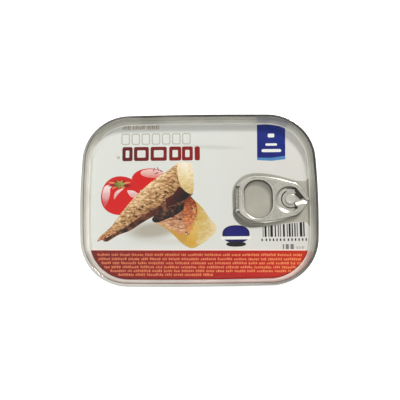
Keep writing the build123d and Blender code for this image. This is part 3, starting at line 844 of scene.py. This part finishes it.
# ------------------------------------------------------------------- rivet ----
def revolved(name, centre, profile, mats, n=72, sharp_deg=50):
    """Turns an (r, z) profile, from the axis out and back to it."""
    verts, rings = [], []
    for r, z in profile:
        if r <= 1e-9:
            rings.append([len(verts)])
            verts.append((centre[0], centre[1], z))
        else:
            rings.append(list(range(len(verts), len(verts) + n)))
            verts += [(centre[0] + r * math.cos(2 * math.pi * k / n), centre[1] + r * math.sin(2 * math.pi * k / n), z) for k in range(n)]
    faces = []
    for a, b in zip(rings, rings[1:]):
        for k in range(n):
            k2 = (k + 1) % n
            if len(a) == 1:
                faces.append((a[0], b[k2], b[k]) if False else (a[0], b[k], b[k2]))
            elif len(b) == 1:
                faces.append((a[k], b[0], a[k2]))
            else:
                faces.append((a[k], b[k], b[k2], a[k2]))
    return mesh_object(name, verts, faces, mats, sharp_deg=sharp_deg)


head_z, head_top = 21.12, 21.60
rivet_profile = [(0, head_top - 0.05), (0.95, head_top - 0.05), (1.10, head_top - 0.055), (1.22, head_top - 0.09), (1.34, head_top - 0.055), (1.5, head_top - 0.02), (1.8, head_top), (2.15, head_top - 0.02)]
rivet_profile += [(2.17 + 0.23 * math.sin(math.radians(a)), head_top - 0.25 + 0.23 * math.cos(math.radians(a))) for a in (20, 45, 70, 90)]
rivet_profile += [(2.38, head_z + 0.08), (2.30, head_z), (1.55, head_z), (1.55, PANEL_Z + 0.47), (1.65, PANEL_Z + 0.42), (2.25, PANEL_Z + 0.40), (2.5, PANEL_Z + 0.32), (2.68, PANEL_Z + 0.12), (2.8, PANEL_Z - 0.02), (2.8, PANEL_Z - 0.10), (0, PANEL_Z - 0.10)]
# painted shade: the rivet's steep sides are darkened to 0.3 of its tone
rivet = revolved("lid_rivet", RIVET, rivet_profile, [metal("rivet_metal", (0.60, 0.58, 0.52), 0.36, (1, 1, 1), 0.05, 0.6, 0.0, 0.5, 0.3)])
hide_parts("lid")
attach(rivet, "root")


# ---------------------------------------------------------------- pull tab ----
TZ = tab_lo[2]
HOLE = (26.45, TAB_Y, 6.1, 8.5, 5.8)
WELL = (40.3, TAB_Y)
LIP_HALF = 5.4


def hermite(points, t0=None, t1=None, n=14):
    """A smooth open line through the points; t0 and t1 are end directions."""
    p = np.array(points, float)
    m = len(p)
    seg = np.linalg.norm(np.diff(p, axis=0), axis=1)
    tan = np.zeros_like(p)
    for i in range(m):
        if i == 0:
            tan[i] = np.array(t0) / np.linalg.norm(t0) if t0 is not None else (p[1] - p[0]) / seg[0]
        elif i == m - 1:
            tan[i] = np.array(t1) / np.linalg.norm(t1) if t1 is not None else (p[-1] - p[-2]) / seg[-1]
        else:
            d = (p[i] - p[i - 1]) / seg[i - 1] ** 1 * seg[i] + (p[i + 1] - p[i]) / seg[i] * seg[i - 1]
            tan[i] = d / np.linalg.norm(d)
    out = []
    for i in range(m - 1):
        for k in range(n):
            t = k / n
            h = (2 * t ** 3 - 3 * t ** 2 + 1, t ** 3 - 2 * t ** 2 + t, -2 * t ** 3 + 3 * t ** 2, t ** 3 - t ** 2)
            out.append(h[0] * p[i] + h[1] * tan[i] * seg[i] + h[2] * p[i + 1] + h[3] * tan[i + 1] * seg[i])
    out.append(p[-1])
    return np.array(out)


def tab_outline():
    """Half the outline above the middle line, from finger end to nose, then
    its mirror image."""
    x0, xt = tab_lo[0], tab_hi[0]
    up = np.vstack([
        hermite([(x0, LIP_HALF), (19.6, 9.2), (25.0, 11.0)], (0.25, 1.0), (1.0, 0.0))[:-1],
        hermite([(25.0, 11.0), (34.0, 10.1), (43.0, 7.75)], (1.0, 0.0), (1.0, -0.22))[:-1],
        hermite([(43.0, 7.75), (45.4, 5.9), (xt - 0.5, 0.7)], (1.0, -0.22), (0.66, -0.75))[:-1],
        hermite([(xt - 0.5, 0.7), (xt, 0.0)], (0.66, -0.75), (0.0, -1.0), 5)[:-1],
    ])
    lip_line = np.array([(x0, y) for y in np.linspace(-LIP_HALF, LIP_HALF, 12)[1:-1]])
    low = up[::-1] * [1, -1]
    out = np.vstack([up, [(xt, 0.0)], low, lip_line])
    return out[::-1] + [0, TAB_Y]          # anticlockwise


OUT = tab_outline()
OUT_A, OUT_B = OUT, np.roll(OUT, -1, axis=0)
OUT_D = OUT_B - OUT_A
OUT_L2 = np.maximum((OUT_D ** 2).sum(1), 1e-12)


def outline_depth(x, y):
    """Distance inside the tab's outline, negative outside."""
    res = np.empty(len(x))
    for s in range(0, len(x), 20000):
        px, py = x[s:s + 20000, None], y[s:s + 20000, None]
        t = np.clip(((px - OUT_A[None, :, 0]) * OUT_D[None, :, 0] + (py - OUT_A[None, :, 1]) * OUT_D[None, :, 1]) / OUT_L2, 0, 1)
        d = np.sqrt(((px - OUT_A[None, :, 0] - t * OUT_D[None, :, 0]) ** 2 + (py - OUT_A[None, :, 1] - t * OUT_D[None, :, 1]) ** 2).min(1))
        a, b = OUT_A[None, :, 1] > py, OUT_B[None, :, 1] > py
        with np.errstate(divide="ignore", invalid="ignore"):
            xi = OUT_A[None, :, 0] + (py - OUT_A[None, :, 1]) / (OUT_B[None, :, 1] - OUT_A[None, :, 1]) * OUT_D[None, :, 0]
        inside = ((a != b) & (px < xi)).sum(1) % 2 == 1
        res[s:s + 20000] = np.where(inside, d, -d)
    return res


def round_box(p, q, cp, cq, hp, hq, r):
    a, b = np.abs(p - cp) - (hp - r), np.abs(q - cq) - (hq - r)
    return np.hypot(np.maximum(a, 0), np.maximum(b, 0)) + np.minimum(np.maximum(a, b), 0) - r


def smin(a, b, k):
    h = np.clip(0.5 + 0.5 * (b - a) / k, 0, 1)
    return b * (1 - h) + a * h - k * h * (1 - h)


def smax(a, b, k):
    return -smin(-a, -b, k)


def step(t):
    t = np.clip(t, 0, 1)
    return t * t * (3 - 2 * t)


def fold_line(x):
    """The fold along the nose, from beside the rivet to the tip."""
    return TAB_Y + np.minimum(-1.45 + 0.36 * (x - 43.6), -0.35 - 0.09 * (x - 46.6))


def nose_side(x, y):
    """Distance above the nose's upper inner side, and position along it."""
    u, v = x - 44.3, y - 3.8
    return (3.05 * u + 2.6 * v) / 4.008, (2.6 * u - 3.05 * v) / 4.008


def web_mid(x, y, d):
    """Height of the single sheet's middle over the tab's underside, and how
    far it is sunk by the well and the nose."""
    m = np.full(x.shape, 1.03)
    r = np.hypot(x - WELL[0], y - WELL[1])
    steep = 0.815 * step((6.1 - r) / 1.05)
    w = np.maximum(6.35 - r, 0)
    gentle = np.minimum(0.56 * w + 1.6 * np.maximum(w - 1.15, 0), 0.815)
    near = step(0.55 - (0.45 * (x - WELL[0]) + 0.89 * (y - WELL[1])) / (r + 1e-6))
    well = near * gentle + (1 - near) * steep
    # the nose: a facet that rises from a fold to the lower rim, and a deep
    # floor above the fold that ends in a steep side
    yc = fold_line(x)
    low = np.clip(0.80 - 0.38 * np.maximum(yc - y, 0) + 0.12 * (x - 46.0), 0, 0.815)
    across, _ = nose_side(x, y)
    high = 0.815 * np.clip(-across / 0.45, 0, 1)
    nose = np.where(y < yc, low, high) * step((x - 42.4) / 1.0)
    well = np.where(x > 42.4, np.where(y < yc, well * (1 - step((x - 42.4) / 1.0)), well), well)
    sunk = np.maximum(np.maximum(well, nose), 0)
    # the curled lip stands off from the ring by a narrow trough
    lip = 0.70 * step((LIP_HALF + 0.1 - np.abs(y - TAB_Y)) / 0.5) * step((18.0 - x) / 0.3)
    return m - np.maximum(sunk, lip), sunk


def tab_field(p):
    """Signed distance, roughly, to the tab's surface; negative inside."""
    x, y, z = p[:, 0], p[:, 1], p[:, 2] - TZ
    d = outline_depth(x, y)
    q = np.c_[np.abs(x - HOLE[0]) - (HOLE[2] - HOLE[4]), np.abs(y - HOLE[1]) - (HOLE[3] - HOLE[4])]
    hole = np.hypot(np.maximum(q[:, 0], 0), np.maximum(q[:, 1], 0)) + np.minimum(q.max(1), 0) - HOLE[4]
    in_lip = step((LIP_HALF - np.abs(y - TAB_Y)) / 0.35) * step((22.0 - x) / 1.0)
    hem_half = 0.72 - 0.34 * in_lip
    hem = round_box(d, z, hem_half, 0.65, hem_half, 0.65, 0.38)
    bead = round_box(hole, z, 0.78, 0.65, 0.78, 0.65, 0.55)
    mid, sunk = web_mid(x, y, d)
    e = 0.02
    gx = (web_mid(x + e, y, d)[0] - mid) / e
    gy = (web_mid(x, y + e, d)[0] - mid) / e
    web = np.abs(z - mid) / np.sqrt(1 + gx * gx + gy * gy) - 0.21
    body = smin(smin(hem, bead, 0.20), web, 0.16)
    # nothing stands over the sunk well and nose
    ceiling = (z - (mid + 0.21 + 0.16 * (sunk < 0.02))) / np.sqrt(1 + gx * gx + gy * gy)
    body = np.where(sunk > 0.0, smax(body, ceiling, 0.05), body)
    # the band is crowned: it falls away to its outer edge and into the hole
    # along the lower side a low hem runs outside a step, which dies out
    # towards the nose and widens round the finger end
    side = step((TAB_Y + 3.0 - y) / 4.0) * (1 - in_lip)
    at = np.clip(1.50 - 0.052 * (x - 21.0), 0.15, 1.7)
    stepped = 0.36 * step((at + 0.22 - d) / 0.62) + 0.22 * np.clip(1 - d / 0.9, 0, 1) ** 2
    fallen = 0.42 * np.clip(1 - d / (0.95 - 0.25 * in_lip), 0, 1) ** 2
    fall_out = side * stepped + (1 - side) * fallen
    # the finger hole's rolled edge, broader and deeper on its far side
    hx, hy = x - HOLE[0], y - HOLE[1]
    far = step((0.45 * hx + 0.89 * hy) / (np.hypot(hx, hy) + 1e-6) + 0.55)
    roll = np.clip(1 - hole / (1.30 - 0.25 * far), 0, 1)
    fall_in = (0.45 + 0.95 * far) * (1 - np.sqrt(np.maximum(1 - roll ** 2, 0)))
    body = smax(body, (z - (1.3 - fall_out - fall_in)) / 1.12, 0.05)
    # the nose dips towards its tip
    body = smax(body, z - (1.3 - 0.10 * np.maximum(x - 43.5, 0)), 0.05)
    # plan limits: outline, finger hole, slot, bore
    body = smax(body, -d, 0.06)
    body = smax(body, -hole, 0.06)
    rx, ry = x - RIVET[0], y - RIVET[1]
    rr = np.hypot(rx, ry)
    ang = np.degrees(np.arctan2(ry, rx))
    turned = np.where(ang < 0, ang + 360, ang)
    # slot round the tongue, its end holes, and the arc along the well's far side
    slot = np.maximum(np.abs(rr - 4.0) - 0.23, np.abs(turned - 207.0) * math.pi / 180 * 4.0 - 6.4)
    slot = np.minimum(slot, np.maximum(np.abs(rr - 5.15) - 0.36, np.abs(ang - 82.0) * math.pi / 180 * 5.2 - 2.4))
    for a, rad, size in ((55.0, 4.45, 0.62), (-59.0, 4.6, 0.66)):
        slot = np.minimum(slot, np.hypot(rx - rad * math.cos(math.radians(a)), ry - rad * math.sin(math.radians(a))) - size)
    # window beside the nose
    across, down = nose_side(x, y)
    win = round_box(across, down, -1.12, 2.25, 1.02, 1.95, 0.35)
    win = np.maximum(win, fold_line(x) + 0.15 - y)
    slot = np.minimum(slot, win)
    body = smax(body, -slot, 0.06)
    body = smax(body, 1.6 - rr, 0.05)
    # nicks at both ends of the lip
    for s in (1, -1):
        a = math.radians(25 * s)
        nx, ny = x - (tab_lo[0] + 0.85), y - (TAB_Y + s * LIP_HALF)
        u, v = nx * math.cos(a) + ny * math.sin(a), -nx * math.sin(a) + ny * math.cos(a)
        nick = np.maximum(np.maximum(np.abs(u) - 1.25, np.abs(v) - 0.40), 0.12 - z)
        body = smax(body, -nick, 0.08)
    return body


def surface_net(field, lo, hi, cell):
    """Closed mesh of the field's zero surface, one vertex per crossed cell."""
    n = [int(math.ceil((hi[k] - lo[k]) / cell[k])) + 1 for k in range(3)]
    ax = [lo[k] + cell[k] * np.arange(n[k]) for k in range(3)]
    gx, gy, gz = np.meshgrid(*ax, indexing="ij")
    v = field(np.c_[gx.ravel(), gy.ravel(), gz.ravel()]).reshape(n)
    for k in range(3):                # nothing crosses the grid's outer faces
        for side in (0, -1):
            sl = [slice(None)] * 3
            sl[k] = side
            v[tuple(sl)] = np.maximum(v[tuple(sl)], 0.01)
    inside = v < 0
    shape = tuple(k - 1 for k in n)
    acc = np.zeros(shape + (3,))
    cnt = np.zeros(shape)
    for axis in range(3):
        o1, o2 = [k for k in range(3) if k != axis]
        for a in (0, 1):
            for b in (0, 1):
                sl0, sl1 = [None] * 3, [None] * 3
                sl0[axis], sl1[axis] = slice(0, -1), slice(1, None)
                sl0[o1] = sl1[o1] = slice(a, n[o1] - 1 + a)
                sl0[o2] = sl1[o2] = slice(b, n[o2] - 1 + b)
                va, vb = v[tuple(sl0)], v[tuple(sl1)]
                cross = (va < 0) != (vb < 0)
                with np.errstate(divide="ignore", invalid="ignore"):
                    t = np.where(cross, va / (va - vb), 0.0)
                acc[..., axis] += np.where(cross, t, 0)
                acc[..., o1] += np.where(cross, a, 0)
                acc[..., o2] += np.where(cross, b, 0)
                cnt += cross
    has = cnt > 0
    idx = -np.ones(shape, int)
    idx[has] = np.arange(has.sum())
    cells = np.argwhere(has)
    pts = np.array(lo) + (cells + acc[has] / cnt[has][:, None]) * np.array(cell)
    faces, owner = [], []
    for axis in range(3):
        o1, o2 = (axis + 1) % 3, (axis + 2) % 3
        sl0, sl1 = [slice(1, n[k] - 1) for k in range(3)], [slice(1, n[k] - 1) for k in range(3)]
        sl0[axis], sl1[axis] = slice(0, n[axis] - 1), slice(1, n[axis])
        a_in, b_in = inside[tuple(sl0)], inside[tuple(sl1)]
        where = np.argwhere(a_in != b_in)
        base = where.copy()
        for k in (o1, o2):
            base[:, k] += 1
        flip = a_in[a_in != b_in]
        node = base.copy()
        node[:, axis] += ~flip
        owner.append((node[:, 0] * n[1] + node[:, 1]) * n[2] + node[:, 2])
        quad = []
        for d1, d2 in ((-1, -1), (0, -1), (0, 0), (-1, 0)):
            c = base.copy()
            c[:, o1] += d1
            c[:, o2] += d2
            quad.append(idx[c[:, 0], c[:, 1], c[:, 2]])
        q = np.array(quad).T
        q[~flip] = q[~flip][:, ::-1]
        faces.append(q)
    return split_fans(pts, np.vstack(faces), np.concatenate(owner))


def split_fans(pts, faces, owner):
    """Gives each sheet of faces at a vertex its own copy of it, so that every
    edge joins two faces. owner is the inside grid node of each face."""
    quads = faces.tolist()
    edge, at = {}, {}
    for fi, q in enumerate(quads):
        for a, b in zip(q, q[1:] + q[:1]):
            edge.setdefault((min(a, b), max(a, b)), []).append(fi)
            at.setdefault(a, []).append(fi)
    centre = pts[faces].mean(axis=1)
    more = []
    for v, mine in at.items():
        fan = {fi: fi for fi in mine}

        def top(k):
            while fan[k] != k:
                k = fan[k]
            return k
        for fi in mine:
            q = quads[fi]
            i = q.index(v)
            for w in (q[i - 1], q[(i + 1) % 4]):
                fs = edge[(min(v, w), max(v, w))]
                for fj in fs:
                    if len(fs) == 2 or owner[fj] == owner[fi]:
                        fan[top(fj)] = top(fi)
        groups = {}
        for fi in mine:
            groups.setdefault(top(fi), []).append(fi)
        if len(groups) > 1:
            for g in groups.values():
                more.append(pts[v] + 0.12 * (centre[g].mean(axis=0) - pts[v]))
                for fi in g:
                    faces[fi][quads[fi].index(v)] = len(pts) + len(more) - 1
    if more:
        pts = np.vstack([pts, more])
        used = np.unique(faces)
        new = -np.ones(len(pts), int)
        new[used] = np.arange(len(used))
        pts, faces = pts[used], new[faces]
    return pts, faces


def gradient(field, p, e=0.012):
    g = np.stack([field(p + d) - field(p - d) for d in (np.array([e, 0, 0]), np.array([0, e, 0]), np.array([0, 0, e]))], 1) / (2 * e)
    return g


def tab_object():
    lo = (tab_lo[0] - 0.31, tab_lo[1] - 0.33, TZ - 0.145)
    hi = (tab_hi[0] + 0.31, tab_hi[1] + 0.33, tab_hi[2] + 0.145)
    p, f = surface_net(tab_field, lo, hi, (0.17, 0.17, 0.11))
    for _ in range(3):
        g = gradient(tab_field, p)
        v = tab_field(p)
        move = (v / np.maximum((g ** 2).sum(1), 0.25))[:, None] * g
        length = np.linalg.norm(move, axis=1)
        p = p - move * np.minimum(1, 0.06 / np.maximum(length, 1e-9))[:, None]
    g = gradient(tab_field, p, 0.03)
    nrm = g / np.maximum(np.linalg.norm(g, axis=1), 1e-9)[:, None]
    p = np.clip(p, tab_lo + 0.004, tab_hi - 0.004)
    ob = mesh_object("pull_tab", p, f, [TAB_METAL, HEM_SHADE_METAL, SHADE_METAL, HIGHLIGHT_METAL], normals=nrm)
    # painted shade: the folded hem round the lower left of the ring, the side turned from the light, takes the dark hem
    # metal
    run = np.array([(16.2, -3.9), (16.7, -6.2), (18.3, -8.5), (21.0, -10.3), (24.4, -11.2), (28.8, -11.1)])
    reach = np.array([0.3, 1.15, 1.45, 1.35, 1.0, 0.3])
    mid = np.array([np.mean(p[np.asarray(c)], axis=0) for c in f])[:, :2]
    shaded = np.zeros(len(mid), bool)
    for a, b, ra, rb in zip(run[:-1], run[1:], reach[:-1], reach[1:]):
        d = b - a
        t = np.clip(((mid - a) @ d) / (d @ d), 0, 1)
        off = np.hypot(*(mid - a - t[:, None] * d).T)
        shaded |= off < ra + (rb - ra) * t
    pick = shaded.astype(np.int32)
    # painted shade on the lip's upper nick and a painted highlight on its lower nick
    for cx, cy, rx, ry, deg, k in ((16.75, 5.75, 0.75, 0.42, -35, 2), (16.7, -5.15, 1.25, 0.45, 28, 3)):
        c, s = math.cos(math.radians(deg)), math.sin(math.radians(deg))
        du, dv = mid[:, 0] - cx, mid[:, 1] - cy
        pick[((du * c + dv * s) / rx) ** 2 + ((dv * c - du * s) / ry) ** 2 < 1] = k
    if len(ob.data.polygons) == len(mid):
        ob.data.polygons.foreach_set("material_index", pick)
    return ob


tab = tab_object()
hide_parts("tab")
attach(tab, "root")

# ------------------------------------------------------------------- floor ----
bpy.ops.mesh.primitive_grid_add(x_subdivisions=2, y_subdivisions=2, size=6.0, location=(0, 0, -0.0004))
floor = bpy.context.object
floor.name = "floor"
fm = Mat("floor_white", 0.8)
fm.colour((0.90, 0.90, 0.89))
fm.p.inputs["Emission Color"].default_value = (1.0, 1.0, 0.995, 1)
fm.p.inputs["Emission Strength"].default_value = 0.60
fm.p.inputs["Specular IOR Level"].default_value = 0.0
floor.data.materials.append(fm.m)
floor.visible_glossy = False

# ------------------------------------------------------------------- light ----
scene = bpy.context.scene
scene.view_settings.view_transform = "Standard"
scene.view_settings.look = "None"


def lamp(name, azimuth, elevation, distance, size, watts, colour=(1, 1, 1), size_y=None):
    d = bpy.data.lights.new(name, "AREA")
    d.shape = "RECTANGLE"
    d.size, d.size_y = size, size_y or size
    d.energy = watts
    d.color = colour
    ob = bpy.data.objects.new(name, d)
    a, e = math.radians(azimuth), math.radians(elevation)
    v = Vector((math.cos(a) * math.cos(e), math.sin(a) * math.cos(e), math.sin(e)))
    ob.location = v * distance
    ob.rotation_euler = v.to_track_quat("Z", "Y").to_euler()
    scene.collection.objects.link(ob)
    return ob


lamp("key", 60, 30.5, 1.0, 0.22, 8.05, (1.0, 0.995, 0.98), 0.12)

# dim room with a broad soft panel overhead, towards the front left
world = bpy.data.worlds.new("studio")
scene.world = world
world.use_nodes = True
wn = world.node_tree
bg = wn.nodes["Background"]
tc = wn.nodes.new("ShaderNodeTexCoord")


def world_ramp(direction, lo, hi):
    d = wn.nodes.new("ShaderNodeVectorMath")
    d.operation = "DOT_PRODUCT"
    d.inputs[1].default_value = direction
    wn.links.new(tc.outputs["Generated"], d.inputs[0])
    r = wn.nodes.new("ShaderNodeMapRange")
    r.interpolation_type = "SMOOTHSTEP"
    r.inputs["From Min"].default_value, r.inputs["From Max"].default_value = lo, hi
    wn.links.new(d.outputs["Value"], r.inputs["Value"])
    return r.outputs["Result"]


def world_times(a, b):
    n = wn.nodes.new("ShaderNodeMath")
    n.operation = "MULTIPLY"
    wn.links.new(a, n.inputs[0])
    if isinstance(b, float):
        n.inputs[1].default_value = b
    else:
        wn.links.new(b, n.inputs[1])
    return n.outputs[0]


FAR, SIDE = (0.60, 0.80, 0.0), (0.80, -0.60, 0.0)
soft = world_times(world_ramp(FAR, 0.14, 0.04), world_ramp(FAR, -0.72, -0.42))
soft = world_times(soft, world_times(world_ramp(SIDE, -0.85, -0.45), world_ramp(SIDE, 0.85, 0.45)))
soft = world_times(soft, 1.18)
window = world_times(world_ramp((0.0, 0.0, 1.0), 0.50, 0.60), world_ramp((0.0, 0.0, 1.0), 0.82, 0.74))
window = world_times(world_times(window, world_ramp((0.26, 0.966, 0.0), 0.05, 0.35)), 1.35)
room = world_times(world_ramp(FAR, 0.6, -0.6), 0.24)
both = wn.nodes.new("ShaderNodeMath")
both.operation = "ADD"
wn.links.new(window, both.inputs[0])
wn.links.new(room, both.inputs[1])
room = both.outputs[0]
total = wn.nodes.new("ShaderNodeMath")
total.operation = "ADD"
wn.links.new(soft, total.inputs[0])
wn.links.new(room, total.inputs[1])
last = wn.nodes.new("ShaderNodeMath")
last.operation = "ADD"
last.inputs[1].default_value = 0.05
wn.links.new(total.outputs[0], last.inputs[0])
# below the horizon: the pale table, bright towards the viewer's left
table = wn.nodes.new("ShaderNodeMix")
table.data_type = "FLOAT"
wn.links.new(world_ramp((0.0, 0.0, 1.0), 0.22, 0.0), table.inputs[0])
wn.links.new(last.outputs[0], table.inputs[2])
wn.links.new(world_times(world_ramp((0.70, 0.71, 0.0), 0.30, -0.50), 0.90), table.inputs[3])
wn.links.new(table.outputs[0], bg.inputs["Strength"])
bg.inputs["Color"].default_value = (1.0, 0.995, 0.975, 1)

# ------------------------------------------------------------------ camera ----
al, be, ga = math.radians(-9.85), math.radians(-0.81), math.radians(0.47)
turn = Matrix.Rotation(al, 3, "X") @ Matrix.Rotation(be, 3, "Y") @ Matrix.Rotation(ga, 3, "Z")
cam_data = bpy.data.cameras.new("camera")
cam = bpy.data.objects.new("camera", cam_data)
scene.collection.objects.link(cam)
m4 = turn.transposed().to_4x4()
m4.translation = Vector((3.757, -51.353, 319.548)) * MM
cam.matrix_world = m4
cam_data.sensor_width = 36.0
cam_data.lens = 60.67
cam_data.shift_x, cam_data.shift_y = 0.0024, -0.0036
cam_data.clip_start, cam_data.clip_end = 0.01, 20.0
scene.camera = cam
